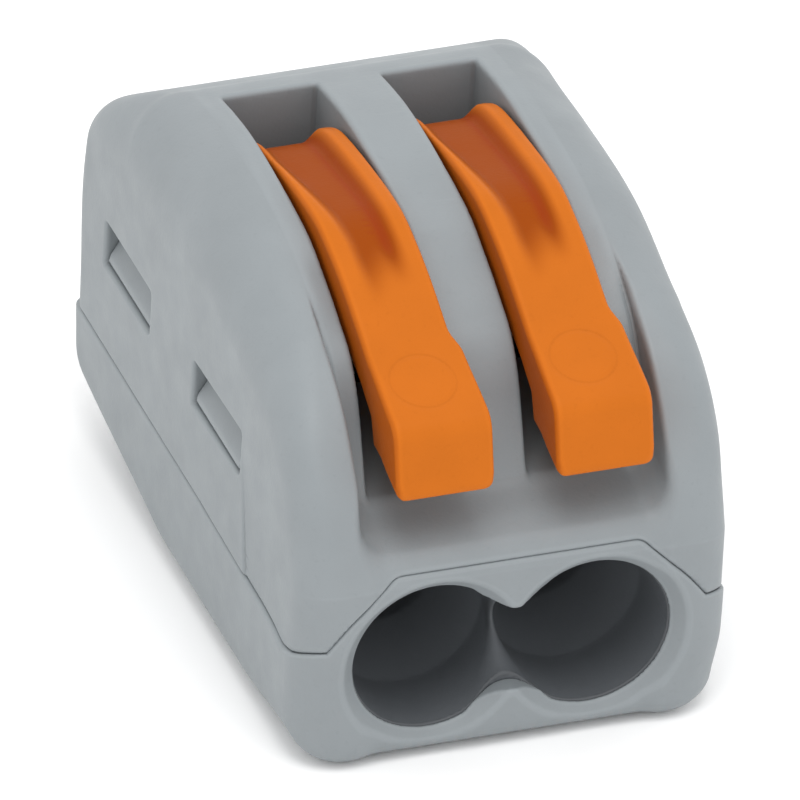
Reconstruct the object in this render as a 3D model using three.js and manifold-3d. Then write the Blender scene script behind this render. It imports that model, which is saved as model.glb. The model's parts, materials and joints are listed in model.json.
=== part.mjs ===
// Two-pole lever wire connector. Millimetres, +Z up, wires enter along +Y through the front at -Y.
// The origin is the middle of the footprint, on the face the connector stands on.

import * as THREE from 'three';
import { mergeVertices } from 'three/addons/utils/BufferGeometryUtils.js';
import Module from 'manifold-3d';

const wasm = await Module();
wasm.setup();

// ---------------------------------------------------------------- driving dimensions
const WIDTH = 13.7;
const LENGTH = 20.5;
const PITCH = 5;                       // spacing of the two poles
const CLEARANCE = 0.05;                // between fixed pieces that meet
const HALF = WIDTH / 2;
const FRONT = -LENGTH / 2;
const REAR = LENGTH / 2;
const POLES = [['left', -PITCH / 2], ['right', PITCH / 2]];

// Housing
const SEAM_Z = 4.2;                    // height of the seam between base and cover
const FLAT_END = 2.4;                  // the underside is flat up to here, then rises to the rear
const HEEL_Z = 1.95;                   // height of the underside at the rear wall
const TOE = 0.6;                       // chamfer along the front bottom edge
const FRONT_CORNER = 1.5;
const REAR_CORNER = 0.8;
const TOP_EDGE = 2.2;                  // rounding along the top of the cheeks
const CAVITY_HALF = 5.5;
const CAVITY_REAR = 9.3;
const CAVITY_TOP = 8.4;
const CAVITY_SHOULDER = [8.6, 7.7];    // y, z where the cavity's top rear corner is cut off
const FLOOR_Z = 0.9;
const FLOOR_REAR_Z = 2.9;              // the floor rises with the underside
const DIVIDER_HALF = 0.38;
const REAR_TOP_Z = 9.2;                // the rear wall is flat up to here

// Wire entries
const ENTRY_Z = 3.36;
const ENTRY_RIM = 2.84;                // radius at the front face
const ENTRY_RADIUS = 2.36;
const ENTRY_BEVEL = 0.46;
const PLATE = 0.5;                     // thickness of the front plate
const WEB_DEPTH = 1.15;                // the web between the entries is deeper than the plate
const WEB_HALF = 0.95;
const PASSAGE_HALF = 1.12;             // half height of the opening that joins the two entries
const PLATE_TOP = 6.44;                // height and half width of the seam's raised part on the front face
const PLATE_TOP_HALF = 3.76;
const PLATE_FOOT = [6.05, 4.4];        // x, z where its slanted sides come down to the level seam
const WEB_FOOT = 0.4;
const WEB_TOP = 5.94;

// Levers
const SLOT_HALF = 1.48;
const SLOT_REAR = 5.88;
const SLOT_FLOOR = 7.6;
const ARM_HALF = 1.36;
const PAD_HALF = 1.62;
const PAD_REAR = -6.55;
const PIVOT = [1.25, 10.0];            // y, z of the lever's axis
const TRUNNION_RADIUS = 1.0;
const TRUNNION_LENGTH = 0.72;
const BEARING_RADIUS = 1.08;
const BEARING_HALF = 2.19;
const CAM_BASE = 1.7;                  // distance from the axis to the cam's flat follower at rest
const CAM_RATE = 1.2;                  // travel of the follower for each radian of the lever
const CAM_SPAN = 1.75;                 // radians of cam, a little more than the lever turns

// Clamp strip and busbar
const STRIP = 0.35;                    // thickness of the spring steel
const STRIP_HALF = 2.0;
const CAM_GAP = 0.12;
const ARM_TOP = PIVOT[1] - CAM_BASE - CAM_GAP;
const CAGE_FRONT = -0.43;
const CAGE_REAR = 5.0;
const SPLIT_GAP = 0.3;                 // between the cage's arm and the spring's loop
const LOOP_CENTRE = 7.2;
const BUSBAR_Z = 4.2;
const BUSBAR_THICKNESS = 0.8;
const WINDOW_TOP = 7.2;
const WINDOW_HALF = 1.55;
const BAR_HEIGHT = 0.9;                // steel left below the window

// Latches
const WINDOW_ROWS = [[-4.35, -0.3], [3.5, 7.55]];   // y from and to
const WINDOW_LOW = 7.0;
const WINDOW_HIGH = 8.5;
const TAB_INNER = 4.9;
const TAB_OUTER = 5.4;
const TAB_TOP = 8.55;
const TAB_ROOT = [2.8, 3.8];           // z from and to, where a tab is joined to the base's wall
const BARB_REACH = 6.6;
const BARB_LIP = 0.25;                 // height of the barb's square lower edge
const LATCH_PLAY = 0.15;

// ---------------------------------------------------------------- materials
function plastic(color, roughness) {
  return new THREE.MeshStandardMaterial({ color, roughness, metalness: 0 });
}

function metal(color, roughness) {
  return new THREE.MeshStandardMaterial({ color, roughness, metalness: 1 });
}

const HOUSING_GREY = 0x9fa7a9;
const LINER_GREY = 0x34383b;
const LEVER_ORANGE = 0xe07a22;
const TINNED_COPPER = 0xc9c3b8;
const SPRING_STEEL = 0xa9abae;

// ---------------------------------------------------------------- making and cutting solids
const X = new THREE.Vector3(1, 0, 0);
const Y = new THREE.Vector3(0, 1, 0);
const Z = new THREE.Vector3(0, 0, 1);

function solidOf(geometry) {
  geometry.deleteAttribute('normal');
  geometry.deleteAttribute('uv');
  const merged = mergeVertices(geometry, 1e-5);
  const vertProperties = Float32Array.from(merged.attributes.position.array);
  const triVerts = Uint32Array.from(merged.index.array);
  return new wasm.Manifold(new wasm.Mesh({ numProp: 3, vertProperties, triVerts }));
}

function extrude(shape, depth) {
  return new THREE.ExtrudeGeometry(shape, { depth, bevelEnabled: false, curveSegments: 10 });
}

// An outline drawn in y and z, carried across the width from x0 to x1.
function across(shape, x0, x1) {
  const geometry = extrude(shape, x1 - x0);
  geometry.applyMatrix4(new THREE.Matrix4().makeBasis(Y, Z, X));
  geometry.translate(x0, 0, 0);
  return solidOf(geometry);
}

// An outline drawn in x and z, carried along the length from y0 to y1.
function along(shape, y0, y1) {
  const geometry = extrude(shape, y1 - y0);
  geometry.applyMatrix4(new THREE.Matrix4().makeBasis(X, Z, Y.clone().negate()));
  geometry.translate(0, y1, 0);
  return solidOf(geometry);
}

// An outline drawn in x and y, carried up from z0 to z1.
function upward(shape, z0, z1) {
  const geometry = extrude(shape, z1 - z0);
  geometry.translate(0, 0, z0);
  return solidOf(geometry);
}

function box(x0, x1, y0, y1, z0, z1) {
  const geometry = new THREE.BoxGeometry(x1 - x0, y1 - y0, z1 - z0);
  geometry.translate((x0 + x1) / 2, (y0 + y1) / 2, (z0 + z1) / 2);
  return solidOf(geometry);
}

// A round bar or cone along the length: radius r0 at y0, r1 at y1.
function cone(x, z, y0, y1, r0, r1) {
  const geometry = new THREE.CylinderGeometry(r1, r0, y1 - y0, 40);
  geometry.translate(x, (y0 + y1) / 2, z);
  return solidOf(geometry);
}

// A round bar across the width, from x0 to x1.
function pin(x0, x1, y, z, radius) {
  const geometry = new THREE.CylinderGeometry(radius, radius, x1 - x0, 32);
  geometry.rotateZ(Math.PI / 2);
  geometry.translate((x0 + x1) / 2, y, z);
  return solidOf(geometry);
}

function outline(points) {
  return new THREE.Shape(points.map(([a, b]) => new THREE.Vector2(a, b)));
}

function pieceOf(name, solid, material) {
  const { vertProperties, triVerts } = solid.getMesh();
  const geometry = new THREE.BufferGeometry();
  geometry.setAttribute('position', new THREE.BufferAttribute(Float32Array.from(vertProperties), 3));
  geometry.setIndex(new THREE.BufferAttribute(Uint32Array.from(triVerts), 1));
  geometry.computeVertexNormals();
  const piece = new THREE.Mesh(geometry, material);
  piece.name = name;
  return piece;
}

// ---------------------------------------------------------------- outer form of the housing
// Side outline: flat underside rising to the heel, rear wall, crown, and a nose that drops to the front.
function sideOutline() {
  const shape = new THREE.Shape();
  shape.moveTo(FRONT, TOE);
  shape.lineTo(FRONT + TOE, 0);
  shape.lineTo(FLAT_END, 0);
  shape.lineTo(REAR, HEEL_Z);
  shape.lineTo(REAR, REAR_TOP_Z);
  const crown = [
    [9.4, 11.45], [8.2, 12.45], [6.2, 13.4], [3.0, 13.8], [-1.4, 13.55], [-4.9, 12.45],
    [-7.54, 11.2], [-8.53, 10.0], [-9.3, 8.8], [-9.8, 7.6], [FRONT, 6.2],
  ];
  shape.splineThru(crown.map(([y, z]) => new THREE.Vector2(y, z)));
  shape.closePath();
  return shape;
}

function planOutline() {
  const shape = new THREE.Shape();
  shape.moveTo(-HALF + FRONT_CORNER, FRONT);
  shape.lineTo(HALF - FRONT_CORNER, FRONT);
  shape.quadraticCurveTo(HALF, FRONT, HALF, FRONT + FRONT_CORNER);
  shape.lineTo(HALF, REAR - REAR_CORNER);
  shape.quadraticCurveTo(HALF, REAR, HALF - REAR_CORNER, REAR);
  shape.lineTo(-HALF + REAR_CORNER, REAR);
  shape.quadraticCurveTo(-HALF, REAR, -HALF, REAR - REAR_CORNER);
  shape.lineTo(-HALF, FRONT + FRONT_CORNER);
  shape.quadraticCurveTo(-HALF, FRONT, -HALF + FRONT_CORNER, FRONT);
  return shape;
}

// Front view of the shell, with the long top edges of the cheeks rounded off.
function frontOutline(top) {
  const shape = new THREE.Shape();
  shape.moveTo(-HALF, 0);
  shape.lineTo(HALF, 0);
  shape.lineTo(HALF, top - TOP_EDGE);
  shape.quadraticCurveTo(HALF, top, HALF - TOP_EDGE, top);
  shape.lineTo(-HALF + TOP_EDGE, top);
  shape.quadraticCurveTo(-HALF, top, -HALF, top - TOP_EDGE);
  return shape;
}

const CROWN_TOP = 13.82;
const ENTRIES_REAR = -9.0;             // the entry cuts stop here, inside the cavity
const OUTSIDE = 1;                     // how far a cut runs past the surface

const body = across(sideOutline(), -HALF, HALF)
  .intersect(upward(planOutline(), 0, CROWN_TOP + OUTSIDE))
  .intersect(along(frontOutline(CROWN_TOP), FRONT, REAR));

// The seam climbs over the entries on the front face: this is the base's share of the front plate.
function plateOutline(grow) {
  return outline([
    [-HALF - grow, SEAM_Z - OUTSIDE], [HALF + grow, SEAM_Z - OUTSIDE], [HALF + grow, SEAM_Z + grow],
    [PLATE_FOOT[0] + grow, PLATE_FOOT[1] + grow], [PLATE_TOP_HALF + grow, PLATE_TOP + grow],
    [-PLATE_TOP_HALF - grow, PLATE_TOP + grow], [-PLATE_FOOT[0] - grow, PLATE_FOOT[1] + grow],
    [-HALF - grow, SEAM_Z + grow],
  ]);
}

function entryCuts() {
  const cuts = POLES.map(([, x]) => {
    const rim = cone(x, ENTRY_Z, FRONT, FRONT + ENTRY_BEVEL, ENTRY_RIM, ENTRY_RADIUS);
    return rim.add(cone(x, ENTRY_Z, FRONT + ENTRY_BEVEL, ENTRIES_REAR, ENTRY_RADIUS, ENTRY_RADIUS));
  });
  const low = ENTRY_Z - PASSAGE_HALF;
  const high = ENTRY_Z + PASSAGE_HALF;
  const passage = box(-PITCH / 4, PITCH / 4, FRONT - OUTSIDE, ENTRIES_REAR, low, high);
  return cuts[0].add(cuts[1]).add(passage);
}

// ---------------------------------------------------------------- lower shell
const LINER_REAR = -4.45;
const STOP_FRONT = 5.9;                // the wire stops against the busbar's seat
const STOP_REAR = 8.3;
const SEAT_HALF = 4.6;
const SEAT_FOOT = [1.7, 2.4];          // the seat's foot at its front and rear, sunk into the sloping floor
const INTO = 0.1;                      // how far joined shapes run into each other

function latchTab(side, [y0, y1]) {
  const front = y0 + LATCH_PLAY;
  const rear = y1 - LATCH_PLAY;
  const sorted = (a, b) => [Math.min(side * a, side * b), Math.max(side * a, side * b)];
  const [rootLow, rootHigh] = TAB_ROOT;
  const tab = box(...sorted(TAB_INNER, TAB_OUTER), front, rear, rootLow, TAB_TOP);
  const root = box(...sorted(TAB_INNER, CAVITY_HALF + INTO), front, rear, rootLow, rootHigh);
  const low = WINDOW_LOW + LATCH_PLAY;
  const high = WINDOW_HIGH - LATCH_PLAY;
  const barb = [
    [TAB_OUTER - INTO, low], [BARB_REACH, low], [BARB_REACH, low + BARB_LIP], [TAB_OUTER - INTO, high],
  ];
  const outward = barb.map(([x, z]) => [side * x, z]);
  return tab.add(root).add(along(outline(side > 0 ? outward : outward.reverse()), front, rear));
}

// The stop that a pushed-in wire meets, which also carries the busbar's crossbar.
function makeSeat() {
  const top = BUSBAR_Z - CLEARANCE;
  const side = [[STOP_FRONT, SEAT_FOOT[0]], [STOP_REAR, SEAT_FOOT[1]], [STOP_REAR, top], [STOP_FRONT, top]];
  return across(outline(side), -SEAT_HALF, SEAT_HALF);
}

function makeBase() {
  const tray = box(-HALF, HALF, FRONT, REAR, 0, SEAM_Z - CLEARANCE);
  const plate = along(plateOutline(-CLEARANCE / 2), FRONT, FRONT + PLATE);
  const web = box(-WEB_HALF, WEB_HALF, FRONT + PLATE - INTO, FRONT + WEB_DEPTH, WEB_FOOT, WEB_TOP);
  const room = [FRONT + PLATE, LINER_REAR + CLEARANCE, TOE, PLATE_TOP + OUTSIDE];
  const linerRoom = box(-CAVITY_HALF, CAVITY_HALF, ...room)
    .subtract(box(-WEB_HALF, WEB_HALF, FRONT, FRONT + WEB_DEPTH, 0, PLATE_TOP));
  const clampRoom = outline([
    [LINER_REAR, FLOOR_Z], [FLAT_END, FLOOR_Z], [CAVITY_REAR, FLOOR_REAR_Z],
    [CAVITY_REAR, SEAM_Z + OUTSIDE], [LINER_REAR, SEAM_Z + OUTSIDE],
  ]);
  let base = body.intersect(tray.add(plate)).add(web);
  base = base.subtract(across(clampRoom, -CAVITY_HALF, CAVITY_HALF)).subtract(linerRoom);
  base = base.subtract(entryCuts()).add(makeSeat());
  for (const side of [-1, 1]) {
    for (const row of WINDOW_ROWS) {
      base = base.add(latchTab(side, row));
    }
  }
  return base;
}

// ---------------------------------------------------------------- upper shell
// The rib and each cheek's inner strip fall away ahead of the cheeks, to a shelf under the levers' tips.
const SCOOP_HALF = 4.72;
const SCOOP_REAR = [6.5, 13.55];
const SHELF_REAR = [-7.7, 7.75];
const SHELF_FRONT = [FRONT - OUTSIDE, 6.5];

function scoopOutline() {
  const over = CROWN_TOP + OUTSIDE;
  const shape = new THREE.Shape();
  shape.moveTo(SCOOP_REAR[0], over);
  shape.lineTo(...SCOOP_REAR);
  const inner = [
    [3.05, 13.71], [0.45, 13.7], [-1.65, 13.49], [-3.45, 12.88],
    [-4.8, 12.05], [-5.85, 11.3], [-6.65, 10.35],
  ];
  shape.splineThru(inner.map(([y, z]) => new THREE.Vector2(y, z)));
  shape.lineTo(-7.25, 9.15);
  shape.lineTo(...SHELF_REAR);
  shape.lineTo(...SHELF_FRONT);
  shape.lineTo(FRONT - OUTSIDE, over);
  shape.closePath();
  return shape;
}

function bearing(x) {
  const [y, z] = PIVOT;
  const round = pin(x - BEARING_HALF, x + BEARING_HALF, y, z, BEARING_RADIUS);
  const mouth = box(x - BEARING_HALF, x + BEARING_HALF, y - BEARING_RADIUS, y + BEARING_RADIUS,
    CAVITY_TOP - 2 * INTO, z);
  return round.add(mouth);
}

// The window in the cheek, and the pocket behind it for the base's latch tab.
function latchCuts([y0, y1]) {
  const over = HALF + OUTSIDE;
  const window = box(-over, over, y0, y1, WINDOW_LOW, WINDOW_HIGH)
    .subtract(box(-TAB_INNER, TAB_INNER, y0, y1, WINDOW_LOW, WINDOW_HIGH));
  const inner = TAB_INNER - LATCH_PLAY;
  const pocket = box(-CAVITY_HALF, CAVITY_HALF, y0, y1, SEAM_Z - OUTSIDE, TAB_TOP + LATCH_PLAY)
    .subtract(box(-inner, inner, y0, y1, 0, CROWN_TOP));
  return window.add(pocket);
}

const CLAMP_ROOM_FRONT = -1.6;         // ahead of this the cavity is only as high as the wire guide
const GUIDE_ROOM_TOP = 6.05;
const DIVIDER_REAR = 5.6;
const DIVIDER_FOOT = BUSBAR_Z + BUSBAR_THICKNESS + 0.3;
const SLOT_FRONT = -7.9;

function makeCover() {
  const chamber = outline([
    [FRONT + PLATE, SEAM_Z - OUTSIDE], [CAVITY_REAR, SEAM_Z - OUTSIDE],
    [CAVITY_REAR, CAVITY_SHOULDER[1]], [CAVITY_SHOULDER[0], CAVITY_TOP],
    [CLAMP_ROOM_FRONT, CAVITY_TOP], [CLAMP_ROOM_FRONT, GUIDE_ROOM_TOP], [FRONT + PLATE, GUIDE_ROOM_TOP],
  ]);
  const divider = box(-DIVIDER_HALF, DIVIDER_HALF, CLAMP_ROOM_FRONT, DIVIDER_REAR, DIVIDER_FOOT, CAVITY_TOP);
  const plateRoom = along(plateOutline(CLEARANCE / 2), FRONT - OUTSIDE, FRONT + PLATE + CLEARANCE);
  let cover = body.intersect(box(-HALF, HALF, FRONT, REAR, SEAM_Z, CROWN_TOP + OUTSIDE));
  cover = cover.subtract(across(chamber, -CAVITY_HALF, CAVITY_HALF).subtract(divider)).subtract(plateRoom);
  cover = cover.subtract(across(scoopOutline(), -SCOOP_HALF, SCOOP_HALF));
  for (const [, x] of POLES) {
    const slot = box(x - SLOT_HALF, x + SLOT_HALF, SLOT_FRONT, SLOT_REAR, SLOT_FLOOR, CROWN_TOP + OUTSIDE);
    cover = cover.subtract(slot).subtract(bearing(x));
  }
  for (const row of WINDOW_ROWS) {
    cover = cover.subtract(latchCuts(row));
  }
  return cover;
}

// ---------------------------------------------------------------- wire guide
const LINER_TOP = 6.0;
const GUIDE_THROAT = 1.7;              // radius where the wire leaves the guide
const GUIDE_NECK = -7.4;               // the bores narrow from here to the throat
const THROAT_FRONT = LINER_REAR - 0.7;

function makeLiner() {
  const half = CAVITY_HALF - CLEARANCE;
  const front = FRONT + PLATE + CLEARANCE;
  let liner = box(-half, half, front, LINER_REAR, TOE + CLEARANCE, LINER_TOP);
  const notch = WEB_HALF + CLEARANCE;
  liner = liner.subtract(box(-notch, notch, front - OUTSIDE, FRONT + WEB_DEPTH + CLEARANCE, 0, PLATE_TOP));
  for (const [, x] of POLES) {
    liner = liner.subtract(cone(x, ENTRY_Z, front - OUTSIDE, GUIDE_NECK, ENTRY_RADIUS, ENTRY_RADIUS));
    liner = liner.subtract(cone(x, ENTRY_Z, GUIDE_NECK, THROAT_FRONT, ENTRY_RADIUS, GUIDE_THROAT));
    liner = liner.subtract(cone(x, ENTRY_Z, THROAT_FRONT, LINER_REAR + OUTSIDE, GUIDE_THROAT, GUIDE_THROAT));
  }
  return liner;
}

// ---------------------------------------------------------------- lever
// The cam is an involute, so its flat follower sinks by CAM_RATE for each radian whatever the lever's angle.
function camPoint(angle) {
  const reach = CAM_BASE + CAM_RATE * angle;
  const y = PIVOT[0] + reach * Math.sin(angle) + CAM_RATE * Math.cos(angle);
  const z = PIVOT[1] - reach * Math.cos(angle) + CAM_RATE * Math.sin(angle);
  return [y, z];
}

const LEVER_REAR = [4.05, 13.05];
const HUB_RADIUS = 1.6;
const CAM_STEPS = 24;

function leverOutline() {
  const shape = new THREE.Shape();
  shape.moveTo(...LEVER_REAR);
  const ridge = [[3.07, 13.5], [0.74, 13.82], [-1.77, 14.0], [-3.41, 13.63], [-4.73, 13.15], [-6.2, 12.35]];
  shape.splineThru(ridge.map(([y, z]) => new THREE.Vector2(y, z)));
  shape.lineTo(-8.9, 11.4);
  shape.quadraticCurveTo(-9.45, 11.2, -9.65, 10.5);
  shape.lineTo(-10.05, 9.4);
  shape.lineTo(-9.9, 9.25);
  shape.lineTo(-7.6, 10.2);
  shape.lineTo(-6.4, 10.8);
  shape.quadraticCurveTo(-3.2, 12.2, -0.9, 11.2);
  shape.lineTo(PIVOT[0] - HUB_RADIUS, PIVOT[1]);
  shape.absarc(PIVOT[0], PIVOT[1], HUB_RADIUS, Math.PI, Math.PI * 1.5, false);
  for (let step = 0; step <= CAM_STEPS; step += 1) {
    shape.lineTo(...camPoint((CAM_SPAN * step) / CAM_STEPS));
  }
  shape.closePath();
  return shape;
}

// The hollow along the rear half of the lever's back, shallower towards the front.
function troughOutline() {
  const over = CROWN_TOP + OUTSIDE;
  const floor = [[5, 12.2], [4.05, 12.65], [0.74, 13.4], [-1.77, 13.75], [-3.6, 13.75]];
  return outline([...floor, [-3.6, over], [5, over]]);
}

const TROUGH_HALF = 0.85;

function makeLever(x) {
  const arm = across(leverOutline(), x - ARM_HALF, x + ARM_HALF);
  const pad = across(leverOutline(), x - PAD_HALF, x + PAD_HALF)
    .intersect(box(x - PAD_HALF, x + PAD_HALF, FRONT, PAD_REAR, 0, CROWN_TOP));
  const reach = ARM_HALF + TRUNNION_LENGTH;
  const trunnions = pin(x - reach, x + reach, PIVOT[0], PIVOT[1], TRUNNION_RADIUS);
  return arm.add(pad).add(trunnions).subtract(across(troughOutline(), x - TROUGH_HALF, x + TROUGH_HALF));
}

// ---------------------------------------------------------------- clamp strip and busbar
const BEND = 0.8;                      // outer radius where the arm turns down into the clamping leg
const LEG_FRONT = 0.6;                 // the leg that bears on the busbar starts here

function makeCage(x) {
  const bottom = BUSBAR_Z - CLEARANCE - BAR_HEIGHT;
  const shape = new THREE.Shape();
  shape.moveTo(CAGE_REAR, ARM_TOP);
  shape.lineTo(CAGE_FRONT + BEND, ARM_TOP);
  shape.absarc(CAGE_FRONT + BEND, ARM_TOP - BEND, BEND, Math.PI / 2, Math.PI, false);
  shape.lineTo(CAGE_FRONT, bottom);
  shape.lineTo(CAGE_FRONT + STRIP, bottom);
  shape.lineTo(CAGE_FRONT + STRIP, ARM_TOP - BEND);
  shape.absarc(CAGE_FRONT + BEND, ARM_TOP - BEND, BEND - STRIP, Math.PI, Math.PI / 2, true);
  shape.lineTo(CAGE_REAR, ARM_TOP - STRIP);
  shape.closePath();
  const strip = across(shape, x - STRIP_HALF, x + STRIP_HALF);
  const opening = box(x - WINDOW_HALF, x + WINDOW_HALF, CAGE_FRONT - OUTSIDE, CAGE_FRONT + OUTSIDE,
    bottom + BAR_HEIGHT, WINDOW_TOP);
  return strip.subtract(opening);
}

function makeSpring(x) {
  const legLow = BUSBAR_Z + BUSBAR_THICKNESS + CLEARANCE;
  const outer = (ARM_TOP - legLow) / 2;
  const middle = legLow + outer;
  const shape = new THREE.Shape();
  shape.moveTo(LEG_FRONT, legLow);
  shape.lineTo(LOOP_CENTRE, legLow);
  shape.absarc(LOOP_CENTRE, middle, outer, -Math.PI / 2, Math.PI / 2, false);
  shape.lineTo(CAGE_REAR + SPLIT_GAP, ARM_TOP);
  shape.lineTo(CAGE_REAR + SPLIT_GAP, ARM_TOP - STRIP);
  shape.lineTo(LOOP_CENTRE, ARM_TOP - STRIP);
  shape.absarc(LOOP_CENTRE, middle, outer - STRIP, Math.PI / 2, -Math.PI / 2, true);
  shape.lineTo(LEG_FRONT, legLow + STRIP);
  shape.closePath();
  return across(shape, x - STRIP_HALF, x + STRIP_HALF);
}

const TONGUE_HALF = 1.3;
const TONGUE_FRONT = -1.65;
const CROSSBAR_HALF = 4.3;
const CROSSBAR_FRONT = 6.1;

function makeBusbar() {
  const top = BUSBAR_Z + BUSBAR_THICKNESS;
  let bar = box(-CROSSBAR_HALF, CROSSBAR_HALF, CROSSBAR_FRONT, STOP_REAR, BUSBAR_Z, top);
  for (const [, x] of POLES) {
    bar = bar.add(box(x - TONGUE_HALF, x + TONGUE_HALF, TONGUE_FRONT, CROSSBAR_FRONT + INTO, BUSBAR_Z, top));
  }
  return bar;
}

// ---------------------------------------------------------------- assembly
const connector = new THREE.Group();
connector.add(pieceOf('housing_base', makeBase(), plastic(HOUSING_GREY, 0.55)));
connector.add(pieceOf('housing_cover', makeCover(), plastic(HOUSING_GREY, 0.55)));
connector.add(pieceOf('entry_liner', makeLiner(), plastic(LINER_GREY, 0.6)));
connector.add(pieceOf('busbar', makeBusbar(), metal(TINNED_COPPER, 0.35)));
for (const [side, x] of POLES) {
  connector.add(pieceOf(`lever_${side}`, makeLever(x), plastic(LEVER_ORANGE, 0.45)));
  connector.add(pieceOf(`clamp_spring_${side}`, makeSpring(x), metal(SPRING_STEEL, 0.3)));
  connector.add(pieceOf(`clamp_cage_${side}`, makeCage(x), metal(SPRING_STEEL, 0.3)));
}

export default connector;
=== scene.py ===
import itertools
import json
import math

import bpy
import numpy as np
from mathutils import Matrix, Vector


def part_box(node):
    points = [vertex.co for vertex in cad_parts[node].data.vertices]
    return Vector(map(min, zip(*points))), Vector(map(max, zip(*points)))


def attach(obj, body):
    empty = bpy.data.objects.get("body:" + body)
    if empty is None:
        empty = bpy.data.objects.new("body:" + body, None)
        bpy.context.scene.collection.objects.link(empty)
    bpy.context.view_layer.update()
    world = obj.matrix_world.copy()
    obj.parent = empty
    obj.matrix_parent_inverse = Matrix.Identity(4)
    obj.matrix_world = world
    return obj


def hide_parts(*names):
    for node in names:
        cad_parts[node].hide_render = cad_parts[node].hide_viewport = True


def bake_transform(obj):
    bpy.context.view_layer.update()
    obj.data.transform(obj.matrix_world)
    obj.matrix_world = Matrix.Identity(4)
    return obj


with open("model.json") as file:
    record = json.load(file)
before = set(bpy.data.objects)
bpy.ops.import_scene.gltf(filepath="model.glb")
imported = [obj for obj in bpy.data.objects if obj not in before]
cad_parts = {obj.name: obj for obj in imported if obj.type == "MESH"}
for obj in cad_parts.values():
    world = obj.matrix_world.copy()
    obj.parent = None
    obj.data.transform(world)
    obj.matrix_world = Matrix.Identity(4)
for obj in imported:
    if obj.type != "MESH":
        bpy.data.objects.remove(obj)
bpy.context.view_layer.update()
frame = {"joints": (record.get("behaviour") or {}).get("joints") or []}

# Lever wire connector: shells, levers, wire guide, clamps and busbar as smooth moulded and bent pieces.
# Every shape is a field of signed distance in millimetres, negative inside, meshed by surface_of().
MM = 0.001
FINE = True


# ---------------------------------------------------------------- places, read from the frame
def millimetres(node):
    """The lowest and highest corner of a CAD node, in millimetres."""
    return [[value / MM for value in corner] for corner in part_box(node)]


COVER_LOW, COVER_HIGH = millimetres("housing_cover")
LEVER_LOW, LEVER_HIGH = millimetres("lever_right")
CAGE_LOW, CAGE_HIGH = millimetres("clamp_cage_right")
BUSBAR_LOW, BUSBAR_HIGH = millimetres("busbar")
SPRING_BASE = millimetres("clamp_spring_right")[0][2]
LINER_REAR = millimetres("entry_liner")[1][1]
HALF = COVER_HIGH[0]                   # half the housing's width
FRONT = COVER_LOW[1]
REAR = COVER_HIGH[1]
CROWN = COVER_HIGH[2]
SEAM = COVER_LOW[2]                    # height of the seam at the side walls
POLE = (LEVER_LOW[0] + LEVER_HIGH[0]) / 2
POLES = {"left": -POLE, "right": POLE}  # x of each pole's middle plane
PIVOT = [value / MM for value in frame["joints"][0]["pos_m"]][1:]  # y and z of the levers' axis


# ---------------------------------------------------------------- signed distance
def smooth(t):
    t = np.clip(t, 0, 1)
    return t * t * (3 - 2 * t)


def mix(a, b, t):
    return a + (b - a) * t


def both(a, b, r):
    """Where a and b overlap, with its edge rounded to radius r."""
    return np.minimum(-r, np.maximum(a, b)) + np.hypot(np.maximum(a + r, 0), np.maximum(b + r, 0))


def either(a, b, r):
    """a joined to b, with a fillet of radius r."""
    return np.maximum(r, np.minimum(a, b)) - np.hypot(np.maximum(r - a, 0), np.maximum(r - b, 0))


def cut(a, b, r):
    """a with b taken away, with the edge rounded to radius r."""
    return both(a, -b, r)


def between(value, low, high):
    return np.maximum(low - value, value - high)


def block(x, y, z, low, high, r):
    """A box with its edges rounded to radius r."""
    sides = both(between(x, low[0], high[0]), between(y, low[1], high[1]), r)
    return both(sides, between(z, low[2], high[2]), r)


MARGIN = 2.5                           # how far the table of a plane_field reaches beyond its outline


def curve_through(points, steps=14):
    """Points along a smooth curve that passes through the given ones."""
    ends = [points[0], *points, points[-1]]
    places = []
    for a, b, c, d in zip(ends, ends[1:], ends[2:], ends[3:]):
        for i in range(steps):
            t = i / steps
            weights = (-t + 2 * t**2 - t**3, 2 - 5 * t**2 + 3 * t**3, t + 4 * t**2 - 3 * t**3, -(t**2) + t**3)
            places.append(tuple(sum(w * p[k] for w, p in zip(weights, (a, b, c, d))) / 2 for k in (0, 1)))
    return places + [tuple(points[-1])]


def arc(centre, radius, start, stop, steps=12):
    """Points along a circle from one angle to another, in degrees."""
    angles = np.radians(np.linspace(start, stop, steps + 1))
    return [(centre[0] + radius * math.cos(a), centre[1] + radius * math.sin(a)) for a in angles]


def plane_field(points, step=0.04):
    """The signed distance to a closed outline, as a function of its two coordinates."""
    points = [tuple(p) for p in points]
    low = np.min(points, 0) - MARGIN
    count = np.ceil((np.max(points, 0) + MARGIN - low) / step).astype(int)
    u = (low[0] + step * np.arange(count[0]))[:, None]
    v = (low[1] + step * np.arange(count[1]))[None, :]
    nearest = np.full((count[0], count[1]), np.inf)
    inside = np.zeros(nearest.shape, bool)
    for (u0, v0), (u1, v1) in zip(points, points[1:] + points[:1]):
        du, dv = u1 - u0, v1 - v0
        if du * du + dv * dv < 1e-12:
            continue
        t = np.clip(((u - u0) * du + (v - v0) * dv) / (du * du + dv * dv), 0, 1)
        nearest = np.minimum(nearest, (u - u0 - t * du) ** 2 + (v - v0 - t * dv) ** 2)
        if dv:
            inside ^= ((v0 > v) != (v1 > v)) & (u < u0 + (v - v0) * du / dv)
    table = np.where(inside, -1, 1) * np.sqrt(nearest)

    def distance(a, b):
        a, b = np.broadcast_arrays(a, b)
        i = np.clip((a - low[0]) / step, 0, count[0] - 1.001)
        j = np.clip((b - low[1]) / step, 0, count[1] - 1.001)
        i0, j0 = i.astype(int), j.astype(int)
        s, t = i - i0, j - j0
        near = table[i0, j0] * (1 - t) + table[i0, j0 + 1] * t
        far = table[i0 + 1, j0] * (1 - t) + table[i0 + 1, j0 + 1] * t
        return near * (1 - s) + far * s

    return distance


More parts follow.
